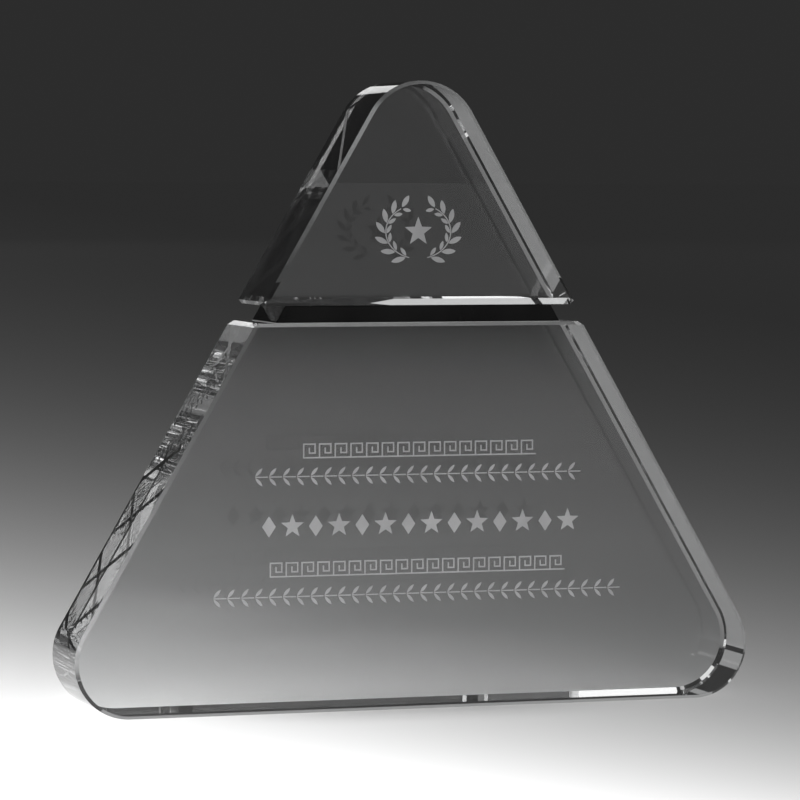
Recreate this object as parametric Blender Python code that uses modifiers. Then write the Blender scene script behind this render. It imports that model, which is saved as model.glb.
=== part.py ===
"""Crystal award: a rounded triangle of clear optical crystal, sawn across and rejoined over a black bar.

The base block and the tip are polished from one rounded triangle, with the tip lifted a little when
the black crystal bar is bonded between them. Two thin films of clear adhesive hold the three together.
Metres. +Z is up, +X runs across the width, and the front face looks towards -Y. The origin is under
the middle of the foot.
"""

import math

import bmesh
import bpy
from mathutils import Matrix

# Driving dimensions
AWARD_WIDTH = 0.208  # over the rounded bottom corners
AWARD_HEIGHT = 0.1845  # foot to the top of the rounded apex
CRYSTAL_THICKNESS = 0.030  # front face to back face
SIDE_ANGLE = math.radians(60.0)  # slope of both sides above the horizontal
CORNER_RADIUS = 0.0164  # bottom corners of the base
APEX_RADIUS = 0.0180  # top of the tip
BASE_HEIGHT = 0.1138  # foot to the sawn top of the base
WAIST_GAP = 0.0051  # between the base and the tip
EDGE_CHAMFER = 0.0010  # polished 45 degree chamfer on the edges
BASE_FOOT_CHAMFER = 0.0010  # along the base's foot
TIP_FOOT_CHAMFER = 0.0019  # heavier, along the sawn bottom of the tip
CORNER_CHAMFER = 0.0013  # across the sharp corners beside the waist

GLUE_THICKNESS = 0.0001  # cured adhesive film
GLUE_CLEARANCE = 0.0003  # kept on both sides of each film, so that no two solids share a face
BAR_DEPTH = 0.0250  # front to back, set in from both crystal faces
BAR_HALF_WIDTH = 0.0439  # at the bottom of the bar, whose ends slope like the crystal's sides
BAR_CHAMFER = 0.0002

ARC_STEP = math.radians(7.5)  # one facet of a rounded corner
SMOOTH_LIMIT = math.radians(20)  # facets that meet at less than this are shaded as one surface
WELD_DISTANCE = 0.000001

COLLECTION_NAME = "crystal_award"
CRYSTAL_COLOUR = (0.59, 0.60, 0.60, 1.0)
BLACK_COLOUR = (0.006, 0.006, 0.007, 1.0)
GLUE_COLOUR = (0.90, 0.91, 0.88, 1.0)


def clear_scene():
    for thing in list(bpy.data.objects):
        bpy.data.objects.remove(thing)


def make_collection():
    collection = bpy.data.collections.new(COLLECTION_NAME)
    bpy.context.scene.collection.children.link(collection)
    return collection


def make_material(name, colour, roughness, transmission=0.0, ior=1.5):
    material = bpy.data.materials.new(name)
    material.use_nodes = True
    shader = material.node_tree.nodes["Principled BSDF"]
    shader.inputs["Base Color"].default_value = colour
    shader.inputs["Roughness"].default_value = roughness
    shader.inputs["Metallic"].default_value = 0.0
    shader.inputs["Transmission Weight"].default_value = transmission
    shader.inputs["IOR"].default_value = ior
    return material


def arc(centre_x, centre_z, radius, start, end):
    """Points along a circle in the front plane, from one angle to another, both ends included."""
    steps = max(2, round(abs(end - start) / ARC_STEP))
    angles = [start + (end - start) * i / steps for i in range(steps + 1)]
    return [(centre_x + radius * math.cos(a), centre_z + radius * math.sin(a)) for a in angles]


def base_outline():
    """The lower block, anticlockwise from the foot: two rounded bottom corners and two sharp top ones."""
    side_normal = math.pi / 2 - SIDE_ANGLE
    centre_x = AWARD_WIDTH / 2 - CORNER_RADIUS
    right_corner = arc(centre_x, CORNER_RADIUS, CORNER_RADIUS, -math.pi / 2, side_normal)
    tangent_x, tangent_z = right_corner[-1]
    top_x = tangent_x - (BASE_HEIGHT - tangent_z) / math.tan(SIDE_ANGLE)
    left_corner = [(-x, z) for x, z in reversed(right_corner)]
    return right_corner + [(top_x, BASE_HEIGHT), (-top_x, BASE_HEIGHT)] + left_corner


def tip_outline():
    """The upper piece, anticlockwise from its bottom right corner over the rounded apex."""
    side_normal = math.pi / 2 - SIDE_ANGLE
    bottom = BASE_HEIGHT + WAIST_GAP
    apex = arc(0.0, AWARD_HEIGHT - APEX_RADIUS, APEX_RADIUS, side_normal, math.pi - side_normal)
    tangent_x, tangent_z = apex[0]
    bottom_x = tangent_x + (tangent_z - bottom) / math.tan(SIDE_ANGLE)
    return [(bottom_x, bottom)] + apex + [(-bottom_x, bottom)]


def bar_outline():
    """The black bar from the front: ends that slope like the crystal's sides."""
    bottom = BASE_HEIGHT + GLUE_THICKNESS + 2 * GLUE_CLEARANCE
    top = BASE_HEIGHT + WAIST_GAP - GLUE_THICKNESS - 2 * GLUE_CLEARANCE
    top_x = BAR_HALF_WIDTH - (top - bottom) / math.tan(SIDE_ANGLE)
    return [(BAR_HALF_WIDTH, bottom), (top_x, top), (-top_x, top), (-BAR_HALF_WIDTH, bottom)]


def upright_slab(name, outline, thickness, collection):
    """A solid of constant thickness whose front and back are the outline, standing in the XZ plane."""
    curve = bpy.data.curves.new(name + "_outline", "CURVE")
    curve.dimensions = "2D"
    curve.fill_mode = "BOTH"
    curve.extrude = thickness / 2
    spline = curve.splines.new("POLY")
    spline.points.add(len(outline) - 1)
    for point, (x, z) in zip(spline.points, outline):
        point.co = (x, z, 0.0, 1.0)
    spline.use_cyclic_u = True
    guide = bpy.data.objects.new(name + "_outline", curve)
    guide.rotation_euler = (math.pi / 2, 0.0, 0.0)
    collection.objects.link(guide)
    bpy.context.view_layer.update()

    graph = bpy.context.evaluated_depsgraph_get()
    mesh = bpy.data.meshes.new_from_object(guide.evaluated_get(graph))
    mesh.transform(guide.matrix_world)
    mesh.name = name
    bpy.data.objects.remove(guide)

    shape = bmesh.new()
    shape.from_mesh(mesh)
    bmesh.ops.remove_doubles(shape, verts=shape.verts, dist=WELD_DISTANCE)
    bmesh.ops.dissolve_limit(
        shape, angle_limit=math.radians(0.1), verts=shape.verts, edges=shape.edges
    )
    bmesh.ops.recalc_face_normals(shape, faces=shape.faces)
    shape.to_mesh(mesh)
    shape.free()
    slab = bpy.data.objects.new(name, mesh)
    collection.objects.link(slab)
    return slab


def face_edge_chamfer(edge, foot_chamfer):
    """Chamfer along an edge of the front or back face: wider the more its side looks down."""
    side = next(f for f in edge.link_faces if abs(f.normal.y) < 0.5)
    downward = max(0.0, -side.normal.z)
    return EDGE_CHAMFER + (foot_chamfer - EDGE_CHAMFER) * downward


def chamfer_crystal(slab, foot_chamfer):
    """Bevel weights for every edge that is polished off, and the Bevel modifier that reads them."""
    shape = bmesh.new()
    shape.from_mesh(slab.data)
    weights = shape.edges.layers.float.new("bevel_weight_edge")
    for edge in shape.edges:
        along = edge.verts[1].co - edge.verts[0].co
        if abs(along.y) < WELD_DISTANCE:
            edge[weights] = face_edge_chamfer(edge, foot_chamfer) / foot_chamfer
        elif edge.calc_face_angle() > math.radians(45):
            edge[weights] = CORNER_CHAMFER / foot_chamfer
    shape.to_mesh(slab.data)
    shape.free()
    slab.data.shade_smooth()
    slab.data.set_sharp_from_angle(angle=SMOOTH_LIMIT)
    bevel = slab.modifiers.new("polished_chamfers", "BEVEL")
    bevel.limit_method = "WEIGHT"
    bevel.offset_type = "OFFSET"
    bevel.width = foot_chamfer
    bevel.segments = 1
    bevel.harden_normals = True


def make_crystal(name, outline, foot_chamfer, material, collection):
    slab = upright_slab(name, outline, CRYSTAL_THICKNESS, collection)
    chamfer_crystal(slab, foot_chamfer)
    slab.data.materials.append(material)
    return slab


def make_spacer_bar(material, collection):
    bar = upright_slab("black_spacer_bar", bar_outline(), BAR_DEPTH, collection)
    bevel = bar.modifiers.new("broken_edges", "BEVEL")
    bevel.limit_method = "ANGLE"
    bevel.width = BAR_CHAMFER
    bevel.segments = 1
    bar.data.materials.append(material)
    return bar


def make_glue_film(name, bottom, half_width, material, collection):
    """A flat film of adhesive, as wide as the face of the bar that it wets."""
    bpy.ops.mesh.primitive_cube_add(size=1.0)
    film = bpy.context.active_object
    film.name = name
    film.data.name = name
    size = Matrix.Diagonal((2 * half_width, BAR_DEPTH - 2 * BAR_CHAMFER, GLUE_THICKNESS, 1.0))
    film.data.transform(size)
    film.location = (0.0, 0.0, bottom + GLUE_THICKNESS / 2)
    for owner in list(film.users_collection):
        owner.objects.unlink(film)
    collection.objects.link(film)
    film.data.materials.append(material)
    return film


def make_glue_films(material, collection):
    outline = bar_outline()
    bottom_half = outline[0][0] - BAR_CHAMFER
    top_half = outline[1][0] - BAR_CHAMFER
    low = BASE_HEIGHT + GLUE_CLEARANCE
    high = BASE_HEIGHT + WAIST_GAP - GLUE_CLEARANCE - GLUE_THICKNESS
    make_glue_film("lower_glue_film", low, bottom_half, material, collection)
    make_glue_film("upper_glue_film", high, top_half, material, collection)


def main():
    clear_scene()
    collection = make_collection()
    crystal = make_material("clear_crystal", CRYSTAL_COLOUR, 0.02, transmission=1.0, ior=1.52)
    black = make_material("black_crystal", BLACK_COLOUR, 0.06, ior=1.52)
    glue = make_material("clear_adhesive", GLUE_COLOUR, 0.10, transmission=0.9, ior=1.50)
    make_crystal("crystal_base", base_outline(), BASE_FOOT_CHAMFER, crystal, collection)
    make_crystal("crystal_tip", tip_outline(), TIP_FOOT_CHAMFER, crystal, collection)
    make_spacer_bar(black, collection)
    make_glue_films(glue, collection)


main()
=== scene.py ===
import math

import bmesh
import bpy
from mathutils import Matrix, Vector


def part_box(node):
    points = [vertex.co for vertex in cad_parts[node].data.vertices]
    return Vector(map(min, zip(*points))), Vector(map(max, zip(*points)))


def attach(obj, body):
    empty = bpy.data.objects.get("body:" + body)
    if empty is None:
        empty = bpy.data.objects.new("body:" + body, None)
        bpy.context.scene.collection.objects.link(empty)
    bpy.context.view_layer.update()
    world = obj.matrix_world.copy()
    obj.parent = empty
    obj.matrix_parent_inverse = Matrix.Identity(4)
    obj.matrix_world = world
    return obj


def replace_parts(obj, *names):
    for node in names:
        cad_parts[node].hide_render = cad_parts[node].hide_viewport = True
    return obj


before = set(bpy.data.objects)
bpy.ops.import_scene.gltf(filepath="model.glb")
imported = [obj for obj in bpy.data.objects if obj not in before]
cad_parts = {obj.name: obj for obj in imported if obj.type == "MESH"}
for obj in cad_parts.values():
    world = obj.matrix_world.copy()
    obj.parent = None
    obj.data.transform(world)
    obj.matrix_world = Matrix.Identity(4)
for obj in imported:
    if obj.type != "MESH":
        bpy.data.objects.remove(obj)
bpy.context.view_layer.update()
print("frame loaded:", sorted(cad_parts))


# a shader socket that can be used in sums
class Sock:
    def __init__(self, tree, out):
        self.tree = tree
        self.out = out

    def maths(self, operation, *others, first=None):
        values = [self if first is None else first, *others]
        return self.tree.add("ShaderNodeMath", dict(operation=operation), dict(enumerate(values)))

    def __add__(self, other):
        return self.maths("ADD", other)

    def __radd__(self, other):
        return self.maths("ADD", other)

    def __sub__(self, other):
        return self.maths("SUBTRACT", other)

    def __rsub__(self, other):
        return self.maths("SUBTRACT", self, first=other)

    def __mul__(self, other):
        return self.maths("MULTIPLY", other)

    def __rmul__(self, other):
        return self.maths("MULTIPLY", other)

    def __truediv__(self, other):
        return self.maths("DIVIDE", other)

    def __pow__(self, other):
        return self.maths("POWER", other)

    def clamp(self):
        return self.tree.add("ShaderNodeClamp", {}, {0: self})


class Shade:
    def __init__(self, name, **constants):
        self.material = bpy.data.materials.new(name)
        self.material.use_nodes = True
        self.nodes = self.material.node_tree.nodes
        self.links = self.material.node_tree.links
        self.shader = self.nodes["Principled BSDF"]
        for socket, value in constants.items():
            self.shader.inputs[socket.replace("_", " ")].default_value = value
        self.coords = self.add("ShaderNodeTexCoord", {}, {}, "Object")

    # one node: its type, its settings, what its sockets hold, and which output to read
    def add(self, kind, settings, sockets, output=0):
        node = self.nodes.new(kind)
        for name, value in settings.items():
            if name == "stops":
                self.setStops(node.color_ramp, value)
            else:
                setattr(node, name, value)
        for key, value in sockets.items():
            if isinstance(value, Sock):
                self.links.new(value.out, node.inputs[key])
            else:
                node.inputs[key].default_value = value
        return Sock(self, node.outputs[output])

    def setStops(self, ramp, stops):
        while len(ramp.elements) < len(stops):
            ramp.elements.new(0.5)
        for element, (position, value) in zip(ramp.elements, stops):
            element.position = position
            element.color = (value, value, value, 1) if isinstance(value, (int, float)) else (*value, 1)

    def noise(self, scale, detail=3.0, roughness=0.5):
        sockets = {"Vector": self.coords, "Scale": scale, "Detail": detail, "Roughness": roughness}
        return self.add("ShaderNodeTexNoise", {}, sockets)

    def ramp(self, value, *stops):
        return self.add("ShaderNodeValToRGB", dict(stops=stops), {"Fac": value})

    def bump(self, height, distance, strength=1.0):
        sockets = {"Height": height, "Distance": distance, "Strength": strength}
        return self.add("ShaderNodeBump", {}, sockets)

    def feed(self, socket, value):
        self.links.new(value.out, self.shader.inputs[socket])


def makeClearCrystal():
    clear = Shade("clearCrystal", Transmission_Weight=1.0, IOR=1.52, Roughness=0.0)
    haze = clear.noise(35.0, 2.0)
    clear.feed("Base Color", clear.ramp(haze, (0.3, (0.585, 0.590, 0.592)), (0.7, (0.600, 0.604, 0.605))))
    return clear.material


def makeBlackCrystal():
    black = Shade("blackCrystal", IOR=1.52, Specular_IOR_Level=0.1)
    cloud = black.noise(60.0, 4.0)
    black.feed("Base Color", black.ramp(cloud, (0.3, 0.002), (0.7, 0.005)))
    black.feed("Roughness", cloud * 0.05 + 0.03)
    return black.material


def makeAdhesive(name, thin, thick):
    film = Shade(name, IOR=1.5, Specular_IOR_Level=0.1)
    cloud = film.noise(90.0, 3.0)
    film.feed("Base Color", film.ramp(cloud, (0.3, thin), (0.7, thick)))
    film.feed("Roughness", cloud * 0.1 + 0.2)
    return film.material


def makeFrostedCut():
    cut = Shade("frostedCut", Specular_IOR_Level=0.4)
    grain = cut.noise(4000.0, 2.0)
    broad = cut.noise(120.0, 3.0)
    # painted shade: the marks are darkened towards the top, where less of the key light falls on them
    height = cut.add("ShaderNodeSeparateXYZ", {}, {0: cut.coords}, "Z")
    paintedShadeByHeight = cut.ramp(height / 0.2, (0.25, 0.93), (0.38, 0.78), (0.65, 0.66))
    white = cut.ramp(broad, (0.3, (0.30, 0.30, 0.305)), (0.7, (0.37, 0.37, 0.375)))
    cut.feed("Base Color", cut.add("ShaderNodeMix", dict(data_type="RGBA", blend_type="MULTIPLY"),
                                   {0: 1.0, 6: white, 7: paintedShadeByHeight}, 2))
    cut.feed("Roughness", grain * 0.2 + 0.5)
    cut.feed("Normal", cut.bump(grain, 0.00002))
    return cut.material


clearCrystal = makeClearCrystal()
blackCrystal = makeBlackCrystal()
clearFilm = makeAdhesive("clearFilm", 0.003, 0.007)  # drawn as dark as the black crystal behind it
milkyFilm = makeAdhesive("milkyFilm", 0.30, 0.36)
frostedCut = makeFrostedCut()
print("finishes made")


def addPiece(name, bm, material):
    mesh = bpy.data.meshes.new(name)
    bm.to_mesh(mesh)
    bm.free()
    piece = bpy.data.objects.new(name, mesh)
    bpy.context.scene.collection.objects.link(piece)
    mesh.materials.append(material)
    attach(piece, "root")
    return piece


# turns a point about a corner's centre, and gives the arc's two end points
def spinArc(bm, centreX, centreZ, radius, fromDegrees, sweepDegrees, steps):
    start = math.radians(fromDegrees)
    first = bm.verts.new((centreX + radius * math.cos(start), 0, centreZ + radius * math.sin(start)))
    turned = bmesh.ops.spin(bm, geom=[first], cent=(centreX, 0, centreZ), axis=(0, -1, 0), dvec=(0, 0, 0),
                            angle=math.radians(sweepDegrees), steps=steps, use_merge=False, use_duplicate=False)
    last = next(v for v in turned["geom_last"] if isinstance(v, bmesh.types.BMVert))
    return first, last


# fills the closed outline and pulls it to its thickness, from front to back
def outlineToSlab(bm, front, back):
    bmesh.ops.contextual_create(bm, geom=bm.edges[:])
    bmesh.ops.translate(bm, verts=bm.verts, vec=(0, front, 0))
    pulled = bmesh.ops.extrude_face_region(bm, geom=bm.faces[:])
    moved = [v for v in pulled["geom"] if isinstance(v, bmesh.types.BMVert)]
    bmesh.ops.translate(bm, verts=moved, vec=(0, back - front, 0))
    bmesh.ops.recalc_face_normals(bm, faces=bm.faces)


crystal = dict(
    sideAngle=60.0, cornerRadius=0.0164, apexRadius=0.0180, arcSteps=64,
    edgeChamfer=0.0010, baseFootChamfer=0.0010, tipFootChamfer=0.0019, cornerChamfer=0.0013,
    relief=0.00002,  # how far the engraved marks stand out of the faces
)
baseLow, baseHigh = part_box("crystal_base")
tipLow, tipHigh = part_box("crystal_tip")
frontFace = baseLow.y + crystal["relief"]
backFace = baseHigh.y - crystal["relief"]


# wider the more the side beside it looks down
def chamferFor(edge, footChamfer):
    side = next(f for f in edge.link_faces if abs(f.normal.y) < 0.5)
    return crystal["edgeChamfer"] + (footChamfer - crystal["edgeChamfer"]) * max(0.0, -side.normal.z)


def polishCrystal(piece, footChamfer):
    bm = bmesh.new()
    bm.from_mesh(piece.data)
    weights = bm.edges.layers.float.new("bevel_weight_edge")
    for edge in bm.edges:
        if abs(edge.verts[0].co.y - edge.verts[1].co.y) < 1e-6:
            edge[weights] = chamferFor(edge, footChamfer) / footChamfer
        elif edge.calc_face_angle() > math.radians(45):
            edge[weights] = crystal["cornerChamfer"] / footChamfer
    bm.to_mesh(piece.data)
    bm.free()
    bevel = piece.modifiers.new("chamfers", "BEVEL")
    bevel.limit_method = "WEIGHT"
    bevel.offset_type = "OFFSET"
    bevel.width = footChamfer
    bevel.segments = 1
    bevel.use_clamp_overlap = False  # the short steps of the round corners would thin it
    bpy.context.view_layer.update()
    graph = bpy.context.evaluated_depsgraph_get()
    cut = bpy.data.meshes.new_from_object(piece.evaluated_get(graph))
    piece.modifiers.clear()
    piece.data = cut
    cut.shade_smooth()
    cut.set_sharp_from_angle(angle=math.radians(15))
    piece.visible_shadow = False  # lamps reach the table through the clear crystal
    return piece


def makeCrystalBase():
    bm = bmesh.new()
    radius = crystal["cornerRadius"]
    normalAngle = 90 - crystal["sideAngle"]
    centreX = baseHigh.x - radius
    centreZ = baseLow.z + radius
    rightFoot, rightSide = spinArc(bm, centreX, centreZ, radius, -90, 90 + normalAngle, crystal["arcSteps"])
    leftSide, leftFoot = spinArc(bm, -centreX, centreZ, radius, 180 - normalAngle, 90 + normalAngle,
                                 crystal["arcSteps"])
    topX = rightSide.co.x - (baseHigh.z - rightSide.co.z) / math.tan(math.radians(crystal["sideAngle"]))
    topRight = bm.verts.new((topX, 0, baseHigh.z))
    topLeft = bm.verts.new((-topX, 0, baseHigh.z))
    for pair in ((rightSide, topRight), (topRight, topLeft), (topLeft, leftSide), (leftFoot, rightFoot)):
        bm.edges.new(pair)
    outlineToSlab(bm, frontFace, backFace)
    piece = addPiece("polished_crystal_base", bm, clearCrystal)
    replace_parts(piece, "crystal_base")
    return polishCrystal(piece, crystal["baseFootChamfer"])


def makeCrystalTip():
    bm = bmesh.new()
    radius = crystal["apexRadius"]
    normalAngle = 90 - crystal["sideAngle"]
    right, left = spinArc(bm, 0, tipHigh.z - radius, radius, normalAngle, 180 - 2 * normalAngle,
                          crystal["arcSteps"])
    bottomX = right.co.x + (right.co.z - tipLow.z) / math.tan(math.radians(crystal["sideAngle"]))
    bottomRight = bm.verts.new((bottomX, 0, tipLow.z))
    bottomLeft = bm.verts.new((-bottomX, 0, tipLow.z))
    for pair in ((left, bottomLeft), (bottomLeft, bottomRight), (bottomRight, right)):
        bm.edges.new(pair)
    outlineToSlab(bm, frontFace, backFace)
    piece = addPiece("polished_crystal_tip", bm, clearCrystal)
    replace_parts(piece, "crystal_tip")
    return polishCrystal(piece, crystal["tipFootChamfer"])


makeCrystalBase()
makeCrystalTip()
print("crystals cut and polished")


bar = dict(depth=0.0250, halfWidth=0.0439, film=0.0001, wet=0.00001, chamfer=0.0002)


def trapezoid(bm, low, high, lowHalf, highHalf, depth):
    cube = bmesh.ops.create_cube(bm, size=1.0, matrix=Matrix.Translation((0, 0, (low + high) / 2)))
    for vert in cube["verts"]:
        top = vert.co.z > (low + high) / 2
        vert.co.x *= 2 * (highHalf if top else lowHalf)
        vert.co.y *= depth
        vert.co.z = high if top else low


def makeSandwich():
    low = baseHigh.z
    high = tipLow.z
    slope = math.tan(math.radians(crystal["sideAngle"]))
    topHalf = bar["halfWidth"] - (high - low) / slope
    film = bar["film"]
    bm = bmesh.new()
    trapezoid(bm, low + film, high - film, bar["halfWidth"] - film / slope, topHalf + film / slope, bar["depth"])
    bmesh.ops.bevel(bm, geom=bm.edges[:], offset=bar["chamfer"], affect="EDGES", segments=1, profile=0.5,
                    material=-1)
    piece = addPiece("polished_black_bar", bm, blackCrystal)
    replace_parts(piece, "black_spacer_bar")

    bm = bmesh.new()
    trapezoid(bm, low - bar["wet"], low + film, bar["halfWidth"], bar["halfWidth"] - film / slope, bar["depth"])
    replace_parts(addPiece("lower_adhesive", bm, milkyFilm), "lower_glue_film")
    bm = bmesh.new()
    trapezoid(bm, high - film, high + bar["wet"], topHalf + film / slope, topHalf, bar["depth"])
    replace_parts(addPiece("upper_adhesive", bm, clearFilm), "upper_glue_film")


makeSandwich()
print("bar bonded")


# the frosted marks on the front: a laurel wreath round a star, and five ornamental bands
cutDepth = 0.0001
starWaist = 0.42  # how far in a star's inner corners are
wreath = dict(middle=(-0.0012, 0.1404), halfWidth=0.0100, halfHeight=0.0079, leafPairs=7, firstAngle=-70.0,
              lastAngle=58.0, gap=0.0005, shrink=0.02, stem=0.00035, starRadius=0.0044,
              leaves=(dict(lean=32.0, length=0.0046, width=0.0016), dict(lean=-38.0, length=0.0030, width=0.0011)))
keyBand = dict(step=0.0048, height=0.00395, stroke=0.00042)
sprigBand = dict(step=0.0042, leafLength=0.0032, leafWidth=0.00095, spread=48.0, gap=0.0003, stroke=0.00034)
boldBand = dict(step=0.0071, starRadius=0.0036, lozengeHeight=0.0062, lozengeWidth=0.0042)
bands = [
    dict(name="engraved_band_1", kind="key", middle=0.0, z=0.0767, count=15),
    dict(name="engraved_band_2", kind="sprig", middle=-0.0004, z=0.0693, count=24),
    dict(name="engraved_band_3", kind="bold", middle=-0.0003, z=0.0548, count=14),
    dict(name="engraved_band_4", kind="key", middle=-0.0004, z=0.0422, count=19),
    dict(name="engraved_band_5", kind="sprig", middle=-0.0003, z=0.0343, count=30),
]


# a pointed leaf from two arcs, lying along X with its stalk end a gap from the origin, then turned and placed
def addLeaf(bm, place, turnDegrees, length, width, gap):
    halfSweep = 2 * math.atan(width / length)
    radius = length / (2 * math.sin(halfSweep))
    drop = radius * math.cos(halfSweep)
    sweep = math.degrees(halfSweep) * 2
    before = set(bm.verts)
    spinArc(bm, 0, -drop, radius, 90 - sweep / 2, sweep, 6)
    spinArc(bm, 0, drop, radius, 270 - sweep / 2, sweep, 6)
    verts = [v for v in bm.verts if v not in before]
    bmesh.ops.remove_doubles(bm, verts=verts, dist=1e-7)
    verts = [v for v in bm.verts if v not in before]
    edges = {edge for v in verts for edge in v.link_edges}
    bmesh.ops.contextual_create(bm, geom=list(edges))
    bmesh.ops.translate(bm, verts=verts, vec=(gap + length / 2, 0, 0))
    bmesh.ops.rotate(bm, verts=verts, cent=(0, 0, 0), matrix=Matrix.Rotation(math.radians(-turnDegrees), 3, "Y"))
    bmesh.ops.translate(bm, verts=verts, vec=(place[0], 0, place[1]))


def addStar(bm, place, radius):
    ring = bmesh.ops.create_circle(bm, cap_ends=True, segments=10, radius=radius)["verts"]
    for vert in ring[1::2]:
        vert.co *= starWaist
    bmesh.ops.rotate(bm, verts=ring, cent=(0, 0, 0), matrix=Matrix.Rotation(math.radians(90), 3, "X"))
    bmesh.ops.translate(bm, verts=ring, vec=(place[0], 0, place[1]))


def addLozenge(bm, place, width, height):
    ring = bmesh.ops.create_circle(bm, cap_ends=True, segments=4, radius=0.5)["verts"]
    bmesh.ops.rotate(bm, verts=ring, cent=(0, 0, 0), matrix=Matrix.Rotation(math.radians(90), 3, "X"))
    bmesh.ops.scale(bm, verts=ring, vec=(width, 1, height))
    bmesh.ops.translate(bm, verts=ring, vec=(place[0], 0, place[1]))


# a flat bar from one point to another, started half a stroke late so that bars meet without lapping
def addStroke(bm, begin, end, stroke):
    begin = Vector((begin[0], 0, begin[1]))
    end = Vector((end[0], 0, end[1]))
    along = (end - begin).normalized()
    low = begin + along * stroke / 2
    high = end + along * stroke / 2
    made = bmesh.ops.create_grid(bm, x_segments=1, y_segments=1, size=0.5)["verts"]
    bmesh.ops.scale(bm, verts=made, vec=((high - low).length, stroke, 1))
    bmesh.ops.rotate(bm, verts=made, cent=(0, 0, 0), matrix=Matrix.Rotation(math.radians(90), 3, "X"))
    turn = math.atan2(along.z, along.x)
    bmesh.ops.rotate(bm, verts=made, cent=(0, 0, 0), matrix=Matrix.Rotation(-turn, 3, "Y"))
    bmesh.ops.translate(bm, verts=made, vec=(low + high) / 2)


# gives the flat marks their small depth into the front face
def engrave(name, bm):
    bmesh.ops.translate(bm, verts=bm.verts, vec=(0, baseLow.y, 0))
    pulled = bmesh.ops.extrude_face_region(bm, geom=bm.faces[:])
    moved = [v for v in pulled["geom"] if isinstance(v, bmesh.types.BMVert)]
    bmesh.ops.translate(bm, verts=moved, vec=(0, cutDepth, 0))
    bmesh.ops.recalc_face_normals(bm, faces=bm.faces)
    return addPiece(name, bm, frostedCut)


# a short edge spun into a curved ribbon, flattened from a circle to the wreath's oval
def addStem(bm, side):
    midX, midZ = wreath["middle"]
    wide = wreath["halfWidth"]
    start = math.radians(wreath["firstAngle"] - 4)
    sweep = math.radians(wreath["lastAngle"] - wreath["firstAngle"] + 4)
    across = [Vector((math.cos(start), 0, math.sin(start))) * (wide + h * wreath["stem"]) for h in (-0.5, 0.5)]
    before = set(bm.verts)
    ends = [bm.verts.new(v) for v in across]
    edge = bm.edges.new(ends)
    bmesh.ops.spin(bm, geom=[*ends, edge], cent=(0, 0, 0), axis=(0, -1, 0), dvec=(0, 0, 0), angle=sweep, steps=24,
                   use_merge=False, use_duplicate=False)
    verts = [v for v in bm.verts if v not in before]
    bmesh.ops.scale(bm, verts=verts, vec=(side, 1, wreath["halfHeight"] / wide))
    bmesh.ops.translate(bm, verts=verts, vec=(midX, 0, midZ))


def makeWreath():
    bm = bmesh.new()
    midX, midZ = wreath["middle"]
    wide, tall = wreath["halfWidth"], wreath["halfHeight"]
    pairs = wreath["leafPairs"]
    for side in (1, -1):
        for i in range(pairs):
            along = (wreath["lastAngle"] - wreath["firstAngle"]) * i / (pairs - 1)
            angle = math.radians(wreath["firstAngle"] + along)
            place = (midX + side * wide * math.cos(angle), midZ + tall * math.sin(angle))
            heading = math.degrees(math.atan2(tall * math.cos(angle), -side * wide * math.sin(angle)))
            for leaf in wreath["leaves"]:
                length = leaf["length"] * (1 - wreath["shrink"] * i)
                addLeaf(bm, place, heading - side * leaf["lean"], length, leaf["width"], wreath["gap"])
        addStem(bm, side)
    addStar(bm, (midX, midZ), wreath["starRadius"])
    return engrave("engraved_emblem", bm)


def makeKeyBand(band):
    bm = bmesh.new()
    step, tall, stroke = keyBand["step"], keyBand["height"], keyBand["stroke"]
    corners = ((0, 0), (0, 1), (0.72, 1), (0.72, 0.34), (0.36, 0.34), (0.36, 0.68))
    startX = band["middle"] - step * band["count"] / 2
    low = band["z"] - tall / 2
    for i in range(band["count"]):
        points = [(startX + (i + x) * step, low + z * tall) for x, z in corners]
        for begin, end in zip(points, points[1:]):
            addStroke(bm, begin, end, stroke)
        addStroke(bm, (points[0][0] - stroke, low), (points[0][0] + step - stroke, low), stroke)
    return engrave(band["name"], bm)


def makeSprigBand(band):
    bm = bmesh.new()
    step, stroke = sprigBand["step"], sprigBand["stroke"]
    startX = band["middle"] - step * band["count"] / 2
    for i in range(band["count"]):
        x = startX + i * step
        for lean in (sprigBand["spread"], -sprigBand["spread"]):
            addLeaf(bm, (x, band["z"]), lean, sprigBand["leafLength"], sprigBand["leafWidth"], sprigBand["gap"])
        addStroke(bm, (x, band["z"]), (x + step - stroke, band["z"]), stroke)
    return engrave(band["name"], bm)


def makeBoldBand(band):
    bm = bmesh.new()
    for i in range(band["count"]):
        x = band["middle"] + (i - (band["count"] - 1) / 2) * boldBand["step"]
        if i % 2:
            addStar(bm, (x, band["z"]), boldBand["starRadius"])
        else:
            addLozenge(bm, (x, band["z"]), boldBand["lozengeWidth"], boldBand["lozengeHeight"])
    return engrave(band["name"], bm)


makeWreath()
for band in bands:
    dict(key=makeKeyBand, sprig=makeSprigBand, bold=makeBoldBand)[band["kind"]](band)
print("marks engraved")


table = dict(radius=60.0, drop=0.0001, reach=0.985, hub=(0.5634, -1.4488, 0.0), across=(0.951, -0.3091, 0.0),
             away=(0.3091, 0.951, 0.0), fanTilt=-0.16, frontStart=-0.2, frontEnd=-0.5, frontSpan=-4.0,
             nearFront=0.62, farFront=0.18, rightStart=0.107, rightEnd=0.16, rightShade=0.3)
# painted light: the table's colour pales as the slope of a line to the hub grows, standing in for a pool of studio
# light that falls off: dark far off, then an even growth up to white near by
paintedFalloff = dict(growth=36.5, whiteSlope=0.1532, least=0.0175, darkest=0.0255, palest=0.95)


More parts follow.
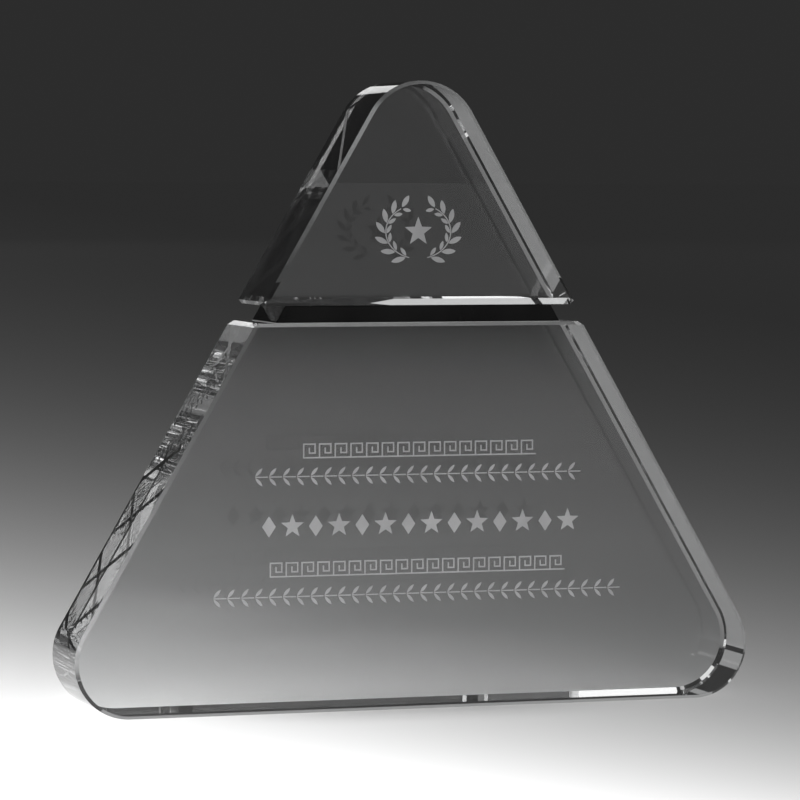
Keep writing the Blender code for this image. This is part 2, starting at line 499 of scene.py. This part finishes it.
def makeTable():
    bm = bmesh.new()
    bmesh.ops.create_circle(bm, cap_ends=True, cap_tris=False, segments=96, radius=table["radius"])
    mesh = bpy.data.meshes.new("table")
    bmesh.ops.translate(bm, verts=bm.verts, vec=(0, 0, -table["drop"]))
    bm.to_mesh(mesh)
    bm.free()
    floor = bpy.data.objects.new("table", mesh)
    bpy.context.scene.collection.objects.link(floor)
    pale = Shade("paintedLightTable", Roughness=0.9, Specular_IOR_Level=0.0)
    fromHub = pale.add("ShaderNodeVectorMath", dict(operation="SUBTRACT"), {0: pale.coords, 1: table["hub"]})
    across, away = [pale.add("ShaderNodeVectorMath", dict(operation="DOT_PRODUCT"), {0: fromHub, 1: table[way]},
                             "Value") for way in ("across", "away")]
    fan = (across * table["fanTilt"] / away).clamp()
    grown = ((fan - paintedFalloff["whiteSlope"]) * paintedFalloff["growth"]).maths("EXPONENT") + paintedFalloff["least"]
    paintedFade = grown.maths("MAXIMUM", paintedFalloff["darkest"]).maths("MINIMUM", paintedFalloff["palest"])
    # painted light: a paler stretch of table off to the right, for the polished faces to mirror
    sideways = (across + table["reach"]) / away
    right = pale.add("ShaderNodeMapRange", {}, {"Value": sideways, "From Min": table["rightStart"],
                                                "From Max": table["rightEnd"]})
    paintedRightLight = (*[table["rightShade"]] * 3, 1)
    paintedFade = pale.add("ShaderNodeMix", dict(data_type="RGBA"), {0: right, 6: paintedFade, 7: paintedRightLight}, 2)
    # painted light: in front of the crystal the table's colour darkens from near to far, standing in for the light
    # falling off
    depth = pale.add("ShaderNodeSeparateXYZ", {}, {0: pale.coords}, "Y")
    front = pale.add("ShaderNodeMapRange", {}, {"Value": depth, "From Min": table["frontStart"],
                                                "From Max": table["frontEnd"]})
    deep = pale.ramp(depth / table["frontSpan"], (0.3, table["nearFront"]), (0.75, table["farFront"]))
    whole = pale.add("ShaderNodeMix", dict(data_type="RGBA"), {0: front, 6: paintedFade, 7: deep}, 2)
    pale.feed("Base Color", whole)
    mesh.materials.append(pale.material)


lamps = [
    dict(name="overheadSoftbox", place=(-0.3, -0.6, 1.8), aim=(0.0, 0.0, 0.0), size=(1.2, 1.2), watts=1.0),
    dict(name="frontKey", place=(-0.5, -2.6, 1.5), aim=(0.0, 0.0, 0.1), size=(1.0, 0.4), watts=45.0),
    dict(name="frontCard", place=(-0.5, -3.0, 0.55), aim=(0.0, 0.0, 0.1), size=(1.0, 0.4), watts=3.2),
    dict(name="frontWall", place=(0.3, -3.2, 0.9), aim=(0.3, 0.0, 0.9), size=(5.0, 1.8), watts=11.0),
    dict(name="backSoftbox", place=(0.85, 7.8, 1.9), aim=(0.0, 0.0, 0.1), size=(2.0, 1.2), watts=9.5),
    dict(name="backHigh", place=(3.2, 7.2, 2.8), aim=(0.0, 0.0, 0.1), size=(3.0, 1.4), watts=5.5),
    dict(name="backLeft", place=(-2.8, 7.4, 1.6), aim=(0.0, 0.0, 0.1), size=(1.2, 2.0), watts=3.0),
    dict(name="upperBack", place=(0.40, 1.0, 0.665), aim=(0.02, 0.0, 0.12), size=(0.075, 0.16), watts=0.035),
    dict(name="leftCard", place=(-3.0, -0.45, 0.75), aim=(0.0, 0.0, 0.05), size=(1.0, 0.3), watts=1.6),
]
studio = dict(dark=0.0255, turns=40, roomLight=2.98, softness=30.0)


def makeLamps():
    for lamp in lamps:
        light = bpy.data.lights.new(lamp["name"], "AREA")
        light.shape = "RECTANGLE"
        light.size, light.size_y = lamp["size"]
        light.energy = lamp["watts"]
        thing = bpy.data.objects.new(lamp["name"], light)
        thing.location = lamp["place"]
        thing.rotation_euler = (Vector(lamp["aim"]) - thing.location).to_track_quat("-Z", "Y").to_euler()
        thing.visible_camera = False
        bpy.context.scene.collection.objects.link(thing)
    # even light over the whole table, which the polished faces don't mirror
    even = bpy.data.lights.new("roomLight", "SUN")
    even.energy = studio["roomLight"]
    even.angle = math.radians(studio["softness"])
    above = bpy.data.objects.new("roomLight", even)
    above.visible_glossy = False
    above.visible_transmission = False
    bpy.context.scene.collection.objects.link(above)
    world = bpy.data.worlds.new("darkStudio")
    world.use_nodes = True
    world.node_tree.nodes["Background"].inputs["Color"].default_value = (*[studio["dark"]] * 3, 1)
    bpy.context.scene.world = world
    bpy.context.scene.view_settings.view_transform = "Standard"
    paths = bpy.context.scene.cycles  # light turns back and forth many times inside the crystal
    paths.max_bounces = paths.glossy_bounces = paths.transmission_bounces = studio["turns"]


view = dict(
    place=(-0.37356, -1.14426, 0.15764), lens=182.85,
    right=(0.951118, -0.308800, 0.004028), up=(0.013433, 0.054399, 0.998429),
)


def makeCamera():
    lens = bpy.data.cameras.new("camera")
    lens.lens = view["lens"]
    lens.sensor_width = 36.0
    lens.clip_end = 200.0
    camera = bpy.data.objects.new("camera", lens)
    right = Vector(view["right"])
    up = Vector(view["up"])
    turn = Matrix((right, up, right.cross(up))).transposed()
    camera.matrix_world = Matrix.Translation(view["place"]) @ turn.to_4x4()
    bpy.context.scene.collection.objects.link(camera)
    bpy.context.scene.camera = camera


makeTable()
makeLamps()
makeCamera()
print("stage set")
